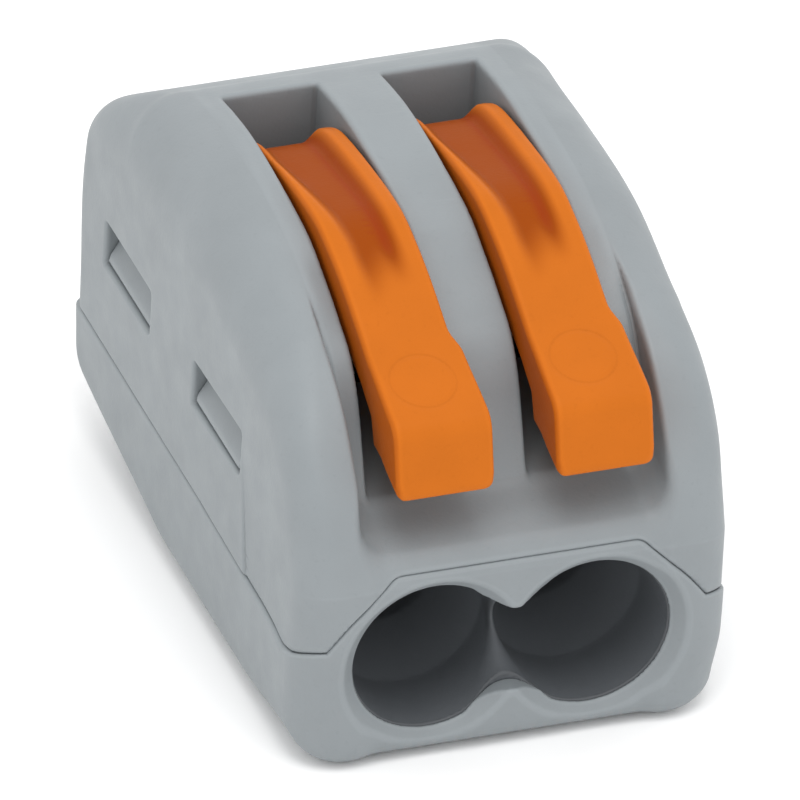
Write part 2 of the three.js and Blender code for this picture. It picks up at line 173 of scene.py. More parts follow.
# ---------------------------------------------------------------- meshing a field
CORNERS = list(itertools.product((0, 1), repeat=3))
PROBE = 0.01                           # how far from a point the field's slope is measured
LONGEST_STEP = 0.05                    # the most that a point moves at a time on its way to the surface
BEND_REACH = 0.1                       # how far from a point its bend is measured


def ticks(low, high, coarse, fine=None, near=(), reach=0.25):
    """Grid positions that are close together near the given places and further apart elsewhere."""
    if not FINE:
        coarse, fine = coarse * 2, (fine or coarse) * 2
    places = [low - 2 * coarse]
    while places[-1] < high + 2 * coarse:
        gap = min((abs(places[-1] - n) for n in near), default=9) - reach
        places.append(places[-1] + min(coarse, max(fine or coarse, gap * 0.4)))
    return np.array(places)


def surface_of(field, axes):
    """Vertices and quads of the surface where the field is zero: one vertex in each grid cell it crosses.

    The vertices are then moved along the field's slope until they lie on the surface."""
    grid = np.ascontiguousarray(field(axes[0][:, None, None], axes[1][None, :, None], axes[2][None, None, :]))
    inside = grid < 0
    nx, ny, nz = grid.shape
    count = np.zeros((nx - 1, ny - 1, nz - 1), np.int8)
    for i, j, k in CORNERS:
        count += inside[i : nx - 1 + i, j : ny - 1 + j, k : nz - 1 + k]
    crossed = (count > 0) & (count < 8)
    cells = np.argwhere(crossed)
    number = np.full(crossed.shape, -1, np.int64)
    number[crossed] = np.arange(len(cells))
    total = np.zeros((len(cells), 3))
    hits = np.zeros((len(cells), 1))
    for a, b in itertools.combinations(CORNERS, 2):
        if sum(abs(p - q) for p, q in zip(a, b)) != 1:
            continue
        at, to = cells + a, cells + b
        va, vb = grid[tuple(at.T)], grid[tuple(to.T)]
        where = (va < 0) != (vb < 0)
        t = (va[where] / (va[where] - vb[where]))[:, None]
        start = np.stack([axes[d][at[where, d]] for d in range(3)], 1)
        stop = np.stack([axes[d][to[where, d]] for d in range(3)], 1)
        total[where] += start + t * (stop - start)
        hits[where] += 1
    points = total / hits
    for _ in range(3):
        value = field(*points.T)
        rise = [field(*(points + PROBE * e).T) - field(*(points - PROBE * e).T) for e in np.eye(3)]
        slope = np.stack(rise, 1) / (2 * PROBE)
        step = (value / np.maximum((slope**2).sum(1), 0.25))[:, None] * slope
        length = np.linalg.norm(step, axis=1, keepdims=True)
        points -= step * np.minimum(1, LONGEST_STEP / np.maximum(length, 1e-9))
    quads = []
    for axis in range(3):
        sign = inside.astype(np.int8)
        change = np.diff(sign, axis=axis)
        trim = [slice(1, -1)] * 3
        trim[axis] = slice(None)
        edge = np.argwhere(change[tuple(trim)])
        offset = np.array([1, 1, 1])
        offset[axis] = 0
        edge = edge + offset
        p, q = [d for d in range(3) if d != axis]
        ring = []
        for dp, dq in ((1, 1), (0, 1), (0, 0), (1, 0)):
            cell = edge.copy()
            cell[:, p] -= dp
            cell[:, q] -= dq
            ring.append(number[tuple(cell.T)])
        quad = np.stack(ring, 1)
        rising = change[tuple(edge.T)] > 0
        flip = rising if axis != 1 else ~rising
        quad[flip] = quad[flip][:, ::-1]
        quads.append(quad)
    return points, np.concatenate(quads)


def bend_of(field, points):
    """How sharply the surface bends: positive along outer edges, negative in corners, 0 where it is flat."""
    around = sum(field(*(points + side * BEND_REACH * e).T) for e in np.eye(3) for side in (-1, 1))
    return np.clip((around - 6 * field(*points.T)) / BEND_REACH**2 / 6, -1, 1).astype(np.float32)


def piece(name, field, axes, material, body, replaced, keep=1.0):
    """A mesh of the field that stands for CAD nodes and rides on a body; keep is the share of faces kept."""
    points, quads = surface_of(field, axes)
    mesh = bpy.data.meshes.new(name)
    mesh.from_pydata((points * MM).tolist(), [], quads.tolist())
    mesh.polygons.foreach_set("use_smooth", np.ones(len(quads), bool))
    mesh.attributes.new("bend", "FLOAT", "POINT").data.foreach_set("value", bend_of(field, points))
    mesh.materials.append(material)
    made = bpy.data.objects.new(name, mesh)
    bpy.context.scene.collection.objects.link(made)
    if keep < 1 and FINE:
        thin = made.modifiers.new("fewer_faces", "DECIMATE")
        thin.ratio = keep
    if body:
        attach(made, body)
    if replaced:
        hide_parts(*replaced)
    return made


# ---------------------------------------------------------------- camera, from the pose of the object
VIEW_AZIMUTH = 0.374                   # angles in radians
VIEW_ELEVATION = 0.5774
VIEW_ROLL = 0.0571
VIEW_DISTANCE = 1000
VIEW_WIDTH = 23.687                    # how wide a stretch the camera sees at that distance
AIM = Vector((0, 0, 5.55))
OFF_CENTRE = (0.0845, -0.1504)         # how far right of and above the picture's centre the aim point lies

forward = Vector((
    math.sin(VIEW_AZIMUTH) * math.cos(VIEW_ELEVATION),
    math.cos(VIEW_AZIMUTH) * math.cos(VIEW_ELEVATION),
    -math.sin(VIEW_ELEVATION),
))
level = Vector((math.cos(VIEW_AZIMUTH), -math.sin(VIEW_AZIMUTH), 0))
right = level * math.cos(VIEW_ROLL) + level.cross(forward) * math.sin(VIEW_ROLL)
up = right.cross(forward)
eye = AIM - right * OFF_CENTRE[0] - up * OFF_CENTRE[1] - forward * VIEW_DISTANCE
lens = bpy.data.cameras.new("camera")
lens.sensor_width = 36
lens.lens = lens.sensor_width * VIEW_DISTANCE / VIEW_WIDTH
lens.clip_start = 0.05
lens.clip_end = 20
camera = bpy.data.objects.new("camera", lens)
camera.matrix_world = Matrix.Translation(eye * MM) @ Matrix((right, up, -forward)).transposed().to_4x4()
bpy.context.scene.collection.objects.link(camera)
bpy.context.scene.camera = camera


# ---------------------------------------------------------------- studio: floor, soft lamp, pale surroundings
def soft_lamp(name, place, aim, size, power):
    light = bpy.data.lights.new(name, "AREA")
    light.shape = "DISK"
    light.size = size * MM
    light.energy = power
    lamp = bpy.data.objects.new(name, light)
    lamp.location = Vector(place) * MM
    towards = (Vector(aim) - Vector(place)).normalized()
    lamp.rotation_euler = towards.to_track_quat("-Z", "Y").to_euler()
    bpy.context.scene.collection.objects.link(lamp)


def shader_of(name, colour, roughness):
    """A new material, its nodes and its surface shader."""
    made = bpy.data.materials.new(name)
    made.use_nodes = True
    made.diffuse_color = (*colour, 1)
    shader = made.node_tree.nodes["Principled BSDF"]
    shader.inputs["Base Color"].default_value = (*colour, 1)
    shader.inputs["Roughness"].default_value = roughness
    return made, made.node_tree, shader


FLOOR_HALF = 900
FLOOR_Z = -0.02                        # a little below the underside, so the two never lie in one plane
FLOOR_STEPS = 8
FLOOR_COLOUR = (0.97, 0.97, 0.97)
SKY_STRENGTH = 1.17


def make_floor():
    """A plain pale floor, as a grid of squares."""
    row = FLOOR_STEPS + 1
    along = [FLOOR_HALF * MM * (2 * i / FLOOR_STEPS - 1) for i in range(row)]
    corners = [(x, y, FLOOR_Z * MM) for y in along for x in along]
    starts = [j * row + i for j in range(FLOOR_STEPS) for i in range(FLOOR_STEPS)]
    mesh = bpy.data.meshes.new("studio_floor")
    mesh.from_pydata(corners, [], [(a, a + 1, a + row + 1, a + row) for a in starts])
    mesh.materials.append(shader_of("studio_floor", FLOOR_COLOUR, 0.9)[0])
    floor = bpy.data.objects.new("studio_floor", mesh)
    bpy.context.scene.collection.objects.link(floor)


make_floor()
world = bpy.data.worlds.new("studio")
world.use_nodes = True
world.node_tree.nodes["Background"].inputs["Color"].default_value = (1, 1, 1, 1)
world.node_tree.nodes["Background"].inputs["Strength"].default_value = SKY_STRENGTH
bpy.context.scene.world = world
bpy.context.scene.view_settings.view_transform = "Standard"
soft_lamp("key", place=(-14, -44, 155), aim=(0, 0, 5), size=90, power=0.078)


# ---------------------------------------------------------------- materials
def add(tree, kind, **settings):
    node = tree.nodes.new(kind)
    for key, value in settings.items():
        setattr(node, key, value)
    return node


def noise(tree, scale, detail, stretch=(1, 1, 1)):
    """A noise over the object's own coordinates; scale is in features per metre."""
    place = add(tree, "ShaderNodeTexCoord")
    squeeze = add(tree, "ShaderNodeMapping")
    squeeze.inputs["Scale"].default_value = stretch
    tree.links.new(place.outputs["Object"], squeeze.inputs["Vector"])
    grains = add(tree, "ShaderNodeTexNoise")
    grains.inputs["Scale"].default_value = scale
    grains.inputs["Detail"].default_value = detail
    tree.links.new(squeeze.outputs["Vector"], grains.inputs["Vector"])
    return grains.outputs["Fac"]


def mixed(tree, amount, first, second):
    """One colour turning into another; each colour is a tuple or a socket."""
    mix = add(tree, "ShaderNodeMix", data_type="RGBA")
    tree.links.new(amount, mix.inputs["Factor"])
    for socket, colour in ((mix.inputs["A"], first), (mix.inputs["B"], second)):
        if isinstance(colour, tuple):
            socket.default_value = (*colour, 1)
        else:
            tree.links.new(colour, socket)
    return mix.outputs["Result"]


def ranged(tree, value, from_low, from_high, to_low, to_high):
    span = add(tree, "ShaderNodeMapRange")
    limits = {"From Min": from_low, "From Max": from_high, "To Min": to_low, "To Max": to_high}
    for socket, number in limits.items():
        span.inputs[socket].default_value = number
    tree.links.new(value, span.inputs["Value"])
    return span.outputs["Result"]


def bumped(tree, shader, heights):
    """Adds bumps, each a height socket with its strength and depth in millimetres."""
    previous = None
    for height, strength, depth in heights:
        bump = add(tree, "ShaderNodeBump")
        bump.inputs["Strength"].default_value = strength
        bump.inputs["Distance"].default_value = depth * MM
        tree.links.new(height, bump.inputs["Height"])
        if previous:
            tree.links.new(previous, bump.inputs["Normal"])
        previous = bump.outputs["Normal"]
    tree.links.new(previous, shader.inputs["Normal"])


def shade(colour, factor):
    return tuple(value * factor for value in colour)


def moulded(name, colour, roughness, hollow=None, gloss=0.5, edge=1.2):
    """Moulded plastic: faint cloudy colour, spark-eroded grain; outer edges take the colour times edge, a
    painted highlight where edge is above 1 and painted shade where it is below; painted shade in inward
    corners; and, where hollow is given, its two colours as painted shade where the hollow attribute marks it.
    """
    made, tree, shader = shader_of(name, colour, 0.5)
    shader.inputs["Specular IOR Level"].default_value = gloss
    cloud = ranged(tree, noise(tree, 420, 4), 0.3, 0.7, 0, 1)
    paint = mixed(tree, cloud, shade(colour, 0.965), shade(colour, 1.035))
    speck = ranged(tree, noise(tree, 5200, 2), 0.62, 0.74, 0, 0.35)
    paint = mixed(tree, speck, paint, shade(colour, 0.9))
    # Painted shade: the two hollow colours, laid on as the hollow attribute rises.
    if hollow:
        depth = add(tree, "ShaderNodeAttribute", attribute_name="hollow").outputs["Fac"]
        paint = mixed(tree, ranged(tree, depth, 0, 0.6, 0, 1), paint, hollow[0])
        paint = mixed(tree, ranged(tree, depth, 0.6, 1, 0, 1), paint, hollow[1])
    bend = add(tree, "ShaderNodeAttribute", attribute_name="bend").outputs["Fac"]
    # Painted highlight along outer edges where edge is above 1, painted shade there where edge is below 1.
    paint = mixed(tree, ranged(tree, bend, 0.25, 0.9, 0, 0.35), paint, shade(colour, edge))
    # Painted shade in inward corners.
    paint = mixed(tree, ranged(tree, bend, -0.3, -1, 0, 0.45), paint, shade(colour, 0.5))
    tree.links.new(paint, shader.inputs["Base Color"])
    tree.links.new(ranged(tree, noise(tree, 900, 3), 0.3, 0.7, *roughness), shader.inputs["Roughness"])
    bumped(tree, shader, [
        (noise(tree, 9000, 2), 0.5, 0.012),
        (noise(tree, 700, 2), 0.25, 0.05),
    ])
    return made


def rolled(name, colour, roughness, tarnish):
    """Rolled strip metal: fine lines along its length, dull patches."""
    made, tree, shader = shader_of(name, colour, 0.3)
    shader.inputs["Metallic"].default_value = 1
    lines = noise(tree, 6000, 2, (1, 0.04, 0.3))
    patches = ranged(tree, noise(tree, 500, 4), 0.5, 0.75, 0, 0.5)
    tree.links.new(mixed(tree, patches, colour, tarnish), shader.inputs["Base Color"])
    tree.links.new(ranged(tree, lines, 0.3, 0.7, *roughness), shader.inputs["Roughness"])
    bumped(tree, shader, [(lines, 0.35, 0.006)])
    return made


GREY = (0.224, 0.246, 0.258)
ORANGE = (0.500, 0.128, 0.012)
# Painted shade for the levers: the orange darkened half way into the hollow along the back, and at its
# bottom; the first is also painted in part on the left flanks.
HOLLOW_SHADE = (0.28, 0.053, 0.003), (0.25, 0.030, 0.005)  # the orange half way into a hollow, and at its bottom
DARK = (0.102, 0.111, 0.121)
STEEL = (0.56, 0.57, 0.58)
TIN = (0.66, 0.62, 0.55)
housing_plastic = moulded("housing_grey_plastic", GREY, (0.44, 0.56))
# edge=0.1 paints the wire guide's outer edges darker: painted shade that hides their highlight.
liner_plastic = moulded("liner_dark_plastic", DARK, (0.5, 0.62), edge=0.1)
lever_plastic = moulded("lever_orange_plastic", ORANGE, (0.36, 0.46), hollow=HOLLOW_SHADE, gloss=0.04)
spring_steel = rolled("spring_steel", STEEL, (0.22, 0.36), tarnish=(0.4, 0.36, 0.3))
tinned_copper = rolled("tinned_copper", TIN, (0.3, 0.45), tarnish=(0.42, 0.33, 0.24))


# ---------------------------------------------------------------- the housing's outer form
CREASE = 4.78                          # x of the step between a cheek's ridge and its inner strip
SLOT_HALF = 1.48                       # half width of the slot each lever lies in
TOE = 0.8                              # rounding of the bottom front edge
FLAT_END = 2.4                         # the underside is flat up to here, then rises to the rear
HEEL_Z = 1.95                          # how far it has risen at the rear wall
HEEL_RISE = math.degrees(math.atan2(HEEL_Z, REAR - FLAT_END))
HEEL = 1.2                             # rounding where the underside meets the rear wall

# The outlines are lists of y and z, as seen from the right side.
UNDERSIDE = [
    (FRONT, 1.2), *arc((FRONT + TOE, TOE), TOE, 180, 270, 8), (FLAT_END - 0.5, 0), (FLAT_END, 0.03),
    (FLAT_END + 0.5, 0.125), *arc((REAR - HEEL, 2.85), HEEL, 270 + HEEL_RISE, 360, 10),
]
BACK = [(REAR, 9.2), (10.1, 10.5), (9.35, 11.55), (8.2, 12.42), (7.2, 12.96), (6.2, 13.38), (3.0, 13.8)]
CHEEK = curve_through([
    *BACK, (-1.4, 13.55), (-4.9, 12.47), (-5.8, 12.07), (-6.7, 11.6), (-7.55, 11.0), (-8.45, 10.05),
    (-9.25, 8.9), (-9.76, 7.63), (FRONT, 6.2),
])
STRIP = curve_through([
    *BACK, (-1.4, 13.52), (-3.45, 12.86), (-4.8, 12.24), (-5.85, 11.64), (-6.65, 10.6), (-7.25, 9.15),
    (-7.65, 8.1), (-8.0, 7.68), (-9.0, 7.33), (-9.75, 7.0), (-10.13, 6.7), (FRONT, 6.25),
])
cheek_side = plane_field(UNDERSIDE + CHEEK)
strip_side = plane_field(UNDERSIDE + STRIP)
TOP_ROUNDING = [                       # y, and the radius there of the edge between the top and the sides
    (-9.3, 0.85), (-7.8, 1.15), (-6.2, 1.6), (-4.5, 2.0), (-1, 2.3), (3, 2.6), (5, 2.5), (7.1, 1.9),
    (9.0, 0.9),
]
SEAM_LINE = [                          # y and z of the seam along a side wall
    (-10.25, 4.28), (-10.0, 4.22), (-9.36, 3.93), (-8.6, 3.74), (-7.8, 3.92), (-7.0, 4.0), (-5.44, 4.05),
    (-1.28, 4.19), (10.25, 4.25),
]
DRAFT = 0.02                           # the least that a side wall stands in from the full width
NOSE_INSET = 0.1                       # how far the side walls stand in ahead of the skirt
BASE_TAPER = 0.22                      # how much further in the base's sides end at the underside
SKIRT_FRONT = -5.29                    # y of the skirt's front edge at the seam
SKIRT_SLOPE = 0.209                    # how far back that edge runs for each millimetre of height
SKIRT_TOP = 8.6
REAR_LEAN = 0.32                       # how far the rear wall stands in at the seam
DROP_START = -3.6                      # y where the strip begins to drop below the cheeks' ridges
SHELF_HIGH = 9.4                       # below this the strip runs out into the shelf under the pads


def averaged(y, points, spread):
    """The height at y of a line through the points, averaged over small steps aside to round its corners."""
    return sum(np.interp(y + s, *zip(*points)) for s in spread) / len(spread)


def edge_radius(y, z):
    """The rounding of the housing's long and upright edges, which differs from place to place."""
    foot = mix(1.1, 1.6, smooth((-5 - y) / 4))
    upright = mix(0.7, 1.2, smooth((2 - y) / 8))
    top = averaged(y, TOP_ROUNDING, (-0.8, -0.4, 0, 0.4, 0.8))
    radius = mix(foot, upright, smooth((z - 0.8) / 1.8))
    return mix(radius, top, smooth((z - 7.5) / 3))


def seam_height(y):
    return averaged(y, SEAM_LINE, (-0.12, 0, 0.12))


def inset(y, z):
    """How far the side walls stand in from the full width: a draft, a skirt behind a crease, a taper."""
    behind = smooth((y - SKIRT_FRONT - SKIRT_SLOPE * (z - SEAM)) / 0.1 + 0.5)
    above = mix(DRAFT, NOSE_INSET, smooth((0.5 - y) / 5.5))
    wall = mix(NOSE_INSET, mix(DRAFT, above, smooth((z - SEAM) / 4.4)), behind)
    taper = DRAFT + BASE_TAPER * np.clip((SEAM - z) / SEAM, 0, 1) ** 2.5
    return np.where(z < seam_height(y), taper, mix(wall, above, smooth((z - SKIRT_TOP) / 0.8)))


def lean(y, z):
    """How far the rear wall stands in: it leans out towards the top, and the base is a little proud of it."""
    upper = REAR_LEAN * (1 - smooth((z - SEAM) / 5))
    lower = REAR_LEAN * np.clip((SEAM - z) / 3, 0, 1)
    return np.where(z < SEAM, lower, upper) * smooth((y - 7) / 3)


PLATE_TOP = 6.49                       # the front plate: its top edge, half width there, and at its foot
PLATE_SHOULDER = 3.83
PLATE_FOOT = 6.0
PLATE_DEPTH = 0.5
GUIDE_RECESS = 0.3
GROOVE_DEPTH = 0.08                    # a shallow groove beside each ridge, at the front of the strip
GROOVE_WIDTH = 0.24


def guide_front(x):
    """y of the dark guide's front face: behind the plate, and further back between the entries."""
    return FRONT + PLATE_DEPTH + GUIDE_RECESS * smooth((1.45 - np.abs(x)) / 1.1)


def above_seam(x, y, z):
    """Distance above the seam, which climbs over the entries on the front face."""
    slant = (np.abs(x) - PLATE_SHOULDER) * 0.696 + (z - PLATE_TOP) * 0.718
    foot = (np.abs(x) - PLATE_FOOT) * 0.88 + (z - SEAM) * 0.475
    plate = both(both(both(z - PLATE_TOP, slant, 0.12), foot, 0.3), y - guide_front(x), 0.02)
    return np.minimum(z - seam_height(y), plate)


def shell(x, y, z):
    """The closed outer form of the housing: both cheeks, and the strip between them, which drops in front."""
    back = y + lean(y, z)
    crown, low = cheek_side(back, z), strip_side(back, z)
    cheeks = both(crown, np.abs(x) - HALF + inset(y, z), edge_radius(y, z))
    sloping = mix(low, crown, smooth((np.abs(x) - POLE - SLOT_HALF) / (CREASE - POLE - SLOT_HALF)))
    drop = smooth((DROP_START - y) / 2)
    groove = smooth((-4.4 - y) / 1.4) * smooth(z - 9)
    beside = smooth((np.abs(x) - CREASE + GROOVE_WIDTH) / GROOVE_WIDTH)
    strip = mix(sloping, low, drop) + GROOVE_DEPTH * groove * beside
    shelf = drop * smooth((SHELF_HIGH - z) / 1.4)
    scoop = both(-strip, np.abs(x) - CREASE, 0.02 + 0.06 * drop + 0.7 * shelf)
    return cut(cheeks, scoop, 0.01 + 0.16 * drop + 0.2 * shelf)


# ---------------------------------------------------------------- wire entries
ENTRY_Z = 3.36                         # height of the entries' axes
RIM, BORE, BEVEL = 2.92, 2.36, 0.54    # radii in the front face and behind the bevel, and its depth
ENTRY_NECK = 2.1                       # over how wide a stretch the two entries run together


def from_axes(x, z, neck):
    """Distance to the nearer entry's axis, and the same with both entries joined by a smooth neck."""
    left, right = (np.hypot(x - pole, z - ENTRY_Z) for pole in POLES.values())
    near = np.minimum(left, right)
    overlap = np.maximum(neck - np.abs(left - right), 0)
    return near, near - overlap**2 / (4 * neck)


def entries(x, y, z):
    """Both round entries with their bevels, as deep as the wire guide."""
    near, joined = from_axes(x, z, ENTRY_NECK)
    bevel = (near - RIM + (y - FRONT) * (RIM - BORE) / BEVEL) * BEVEL / math.hypot(BEVEL, RIM - BORE)
    return np.maximum(np.minimum(joined - BORE, bevel), y - LINER_REAR)


# ---------------------------------------------------------------- upper shell
SLOT_FRONT, SLOT_REAR = -8.6, 5.88     # the slots that the levers lie in
SLOT_FLOOR = 7.8
CAVITY_HALF, CAVITY_REAR, CAVITY_TOP = 5.5, 9.3, 8.4
DIVIDER_HALF = 0.38                    # half width of the wall between the two poles
AXLE_ROOM, AXLE_HALF = 1.08, 2.19      # radius and half length of the room for a lever's trunnions
WINDOWS = [(-4.35, -0.3), (3.5, 7.55)]  # front and rear of the two latch windows in each side wall
WINDOW_LOW, WINDOW_HIGH = 7.0, 8.5
TAB_TOP = 8.5
TAB_INNER, TAB_OUTER = 4.9, 5.4
BARB_REACH = 6.72
GAP = 0.005                            # between the two shells at the seam
BEYOND = 20                            # any height well above the object
BELOW = -5                             # and one well below it
SLOT = (-SLOT_HALF, SLOT_FRONT, SLOT_FLOOR), (SLOT_HALF, SLOT_REAR, BEYOND)
REAR_ROOM = (-CAVITY_HALF, -1.6, BELOW), (CAVITY_HALF, CAVITY_REAR, CAVITY_TOP)
GUIDE_ROOM = (-CAVITY_HALF, FRONT + PLATE_DEPTH, BELOW), (CAVITY_HALF, 0, 6.05)
DIVIDER = (-DIVIDER_HALF, -2, 5.3), (DIVIDER_HALF, 5.6, 9)
AXLE_MOUTH = (-AXLE_HALF, PIVOT[0] - AXLE_ROOM, 8), (AXLE_HALF, PIVOT[0] + AXLE_ROOM, PIVOT[1])


def mirrored(x):
    """x measured from the pole's middle plane, whichever pole is nearer."""
    return np.abs(x) - POLE


def cover_field(x, y, z):
    """The upper shell: lever slots, cavity, trunnion rooms, and windows for the latch tabs."""
    upper = both(shell(x, y, z), GAP / 2 - above_seam(x, y, z), 0.14)
    upper = cut(upper, block(mirrored(x), y, z, *SLOT, 0.12), 0.16)
    rooms = np.minimum(block(x, y, z, *REAR_ROOM, 0.3), block(x, y, z, *GUIDE_ROOM, 0.1))
    upper = cut(upper, np.maximum(rooms, -block(x, y, z, *DIVIDER, 0.1)), 0.08)
    axle = np.maximum(np.hypot(y - PIVOT[0], z - PIVOT[1]) - AXLE_ROOM, np.abs(mirrored(x)) - AXLE_HALF)
    upper = cut(upper, np.minimum(axle, block(mirrored(x), y, z, *AXLE_MOUTH, 0.05)), 0.05)
    for low, high in WINDOWS:
        window = block(np.abs(x), y, z, (TAB_INNER, low, WINDOW_LOW), (8, high, WINDOW_HIGH), 0.12)
        pocket = block(np.abs(x), y, z, (TAB_INNER - 0.15, low, 0), (CAVITY_HALF, high, TAB_TOP + 0.15), 0.05)
        upper = cut(upper, np.minimum(window, pocket), 0.1)
    return upper


SEAM_STEPS = [4.2, 4.8, 5.4, 6.0, 6.4]  # heights that the seam passes on its way over the entries
EDGES_X = [side * place for side in (-1, 1) for place in (POLE - SLOT_HALF, POLE + SLOT_HALF, CREASE + 0.1)]
cover_axes = (
    ticks(-HALF, HALF, 0.14, 0.06, EDGES_X, 0.2),
    ticks(FRONT, REAR, 0.14, 0.07, [SLOT_REAR, *sum(WINDOWS, ()), -5.0], 0.15),
    ticks(3.5, CROWN, 0.14, 0.06, [*SEAM_STEPS, WINDOW_LOW, WINDOW_HIGH], 0.35),
)
piece("housing_cover_shell", cover_field, cover_axes, housing_plastic, "housing",
      ["housing_cover"], 0.5)


# ---------------------------------------------------------------- lower shell
FLOOR_THICK = 0.9
FLOOR_SLOPE = 0.29                     # of the inner floor, over the part that rises to the rear
GUIDE_BED = (-CAVITY_HALF, FRONT, 0.5), (CAVITY_HALF, LINER_REAR + 0.4, 9)
SEAT = (-4.6, 5.9, 1.7), (4.6, 8.3, BUSBAR_LOW[2] - 0.05)
BARB_SLOPE = 0.6                       # how far a barb's outer face leans in for each millimetre of height


def base_field(x, y, z):
    """The lower shell: entries, cavity, the busbar's seat, and the latch tabs with their barbs."""
    lower = both(shell(x, y, z), above_seam(x, y, z) + GAP / 2, 0.09)
    floor = FLOOR_THICK + np.maximum(y - FLAT_END, 0) * FLOOR_SLOPE
    room = both(between(x, -CAVITY_HALF, CAVITY_HALF), between(y, LINER_REAR, CAVITY_REAR), 0.3)
    room = both(room, floor - z, 0.2)
    guide_bed = np.maximum(block(x, y, z, *GUIDE_BED, 0.1), guide_front(x) - y)
    lower = cut(lower, np.minimum(room, guide_bed), 0.03)
    lower = cut(lower, entries(x, y, z), 0.09)
    lower = np.minimum(lower, block(x, y, z, *SEAT, 0.1))
    for low, high in WINDOWS:
        front, rear = low + 0.15, high - 0.15
        tab = block(np.abs(x), y, z, (TAB_INNER, front, 2.8), (TAB_OUTER, rear, TAB_TOP), 0.08)
        root = block(np.abs(x), y, z, (TAB_INNER, front, 2.8), (5.8, rear, 3.8), 0.08)
        ramp = (np.abs(x) - BARB_REACH + (z - WINDOW_LOW - 0.25) * BARB_SLOPE) * 0.857
        corners = (5.3, low + 0.07, WINDOW_LOW + 0.12), (BARB_REACH, high - 0.07, WINDOW_HIGH - 0.05)
        barb = block(np.abs(x), y, z, *corners, 0.05)
        lower = np.minimum(lower, np.minimum(np.minimum(tab, root), both(barb, ramp, 0.06)))
    return lower


base_axes = (
    ticks(-HALF, HALF, 0.13, 0.07, [0, -5.1, 5.1], 0.5),
    ticks(FRONT, REAR, 0.14, 0.05, [FRONT + 0.1, FRONT + 0.5, FRONT + 1.1, *sum(WINDOWS, ())], 0.15),
    ticks(0, TAB_TOP, 0.13, 0.06, [0.5, 1.1, *SEAM_STEPS, WINDOW_LOW, WINDOW_HIGH], 0.3),
)
piece("housing_base_shell", base_field, base_axes, housing_plastic, "housing",
      ["housing_base"], 0.5)


# ---------------------------------------------------------------- wire guide
GUIDE_HALF, GUIDE_LOW, GUIDE_HIGH = 5.42, 0.66, 6.0
GUIDE_BORE, GUIDE_THROAT = 2.42, 1.7   # radius at the front, and at the end of the funnel
FUNNEL_FRONT, FUNNEL_REAR = -7.4, LINER_REAR - 0.7


def liner_field(x, y, z):
    """The wire guide: two funnels whose dividing wall is cut away towards the front."""
    guide = block(x, y, z, (-GUIDE_HALF, FRONT, GUIDE_LOW), (GUIDE_HALF, LINER_REAR, GUIDE_HIGH), 0.12)
    guide = both(guide, guide_front(x) - y, 0.08)
    narrowing = np.clip((y - FUNNEL_FRONT) / (FUNNEL_REAR - FUNNEL_FRONT), 0, 1)
    joined = from_axes(x, z, 0.02 + 1.5 * (1 - smooth((y - FRONT - 0.6) / 2.2)))[1]
    return cut(guide, joined - GUIDE_BORE + (GUIDE_BORE - GUIDE_THROAT) * narrowing, 0.06)


liner_axes = (
    ticks(-GUIDE_HALF, GUIDE_HALF, 0.1, 0.05, [0], 0.3),
    ticks(FRONT + PLATE_DEPTH, LINER_REAR, 0.14, 0.05, [FRONT + 0.5, FRONT + 1.1], 0.25),
    ticks(GUIDE_LOW, GUIDE_HIGH, 0.1),
)
piece("wire_guide", liner_field, liner_axes, liner_plastic, "housing", ["entry_liner"], 0.6)


# ---------------------------------------------------------------- levers
CAM_BASE, CAM_RATE, CAM_SPAN = 1.7, 1.2, 1.75  # radius, rise in each radian, and the angle it covers
CAM_STEPS = 40
HUB, PIN, PIN_HALF = 1.6, 1.0, 2.08    # radius of the hub and of the trunnions, and their half length
ARM_HALF = 1.36                        # half width of the arm
RIDGE = curve_through([
    (4.05, 13.05), (3.07, 13.5), (0.74, 13.82), (-1.77, 13.97), (-3.41, 13.63), (-4.73, 13.15),
    (-6.05, 12.52), (-6.75, 12.2), (-8.7, 11.57),
])
TIP = [*arc((-8.85, 10.65), 0.83, 108, 164, 8), (-10.04, 9.4), *arc((-9.81, 9.3), 0.24, 165, 245, 6)]
UNDER = [(-8.4, 9.58), (-7.65, 9.62), (-7.3, 10.4),
         *curve_through([(-6.4, 10.85), (-4.6, 11.45), (-2.6, 11.6), (-0.9, 11.2)], 8)]


def cam():
    """An involute, so that its flat follower sinks by the same amount for each degree of the lever."""
    points = []
    for k in range(CAM_STEPS + 1):
        turn = CAM_SPAN * k / CAM_STEPS
        reach = CAM_BASE + CAM_RATE * turn
        points.append((
            PIVOT[0] + reach * math.sin(turn) + CAM_RATE * math.cos(turn),
            PIVOT[1] - reach * math.cos(turn) + CAM_RATE * math.sin(turn),
        ))
    return points


lever_side = plane_field([*RIDGE, *TIP, *UNDER, *arc(PIVOT, HUB, 180, 270, 8), *cam()], 0.03)
PAD_MIDDLE = -7.87
RING, RING_DEPTH, RING_WIDTH = 1.0, 0.03, 0.2  # a fine groove round the middle of the pad


def trough(x, y):
    """0 outside the hollow along the lever's back, 1 along its floor; it is wider towards the rear."""
    forward = np.clip((2 - y) / 5, 0, 1)
    aside = np.abs(x - mix(-0.22, 0.05, forward))
    stop = -5.0 - 0.5 * smooth((0.2 - x) / 0.7)
    return (1 - smooth((aside - mix(0.62, 0.36, forward)) / 0.56)) * smooth((y - stop) / 2.1)


def sink(x, y):
    """How far the lever's back is lowered: its hollow, and the fine ring on its pad."""
    ring = np.abs(np.hypot(x, (y - PAD_MIDDLE) * 1.05) - RING)
    return mix(0.2, 0.42, smooth((y + 4) / 7)) * trough(x, y) + RING_DEPTH * (1 - smooth(ring / RING_WIDTH))


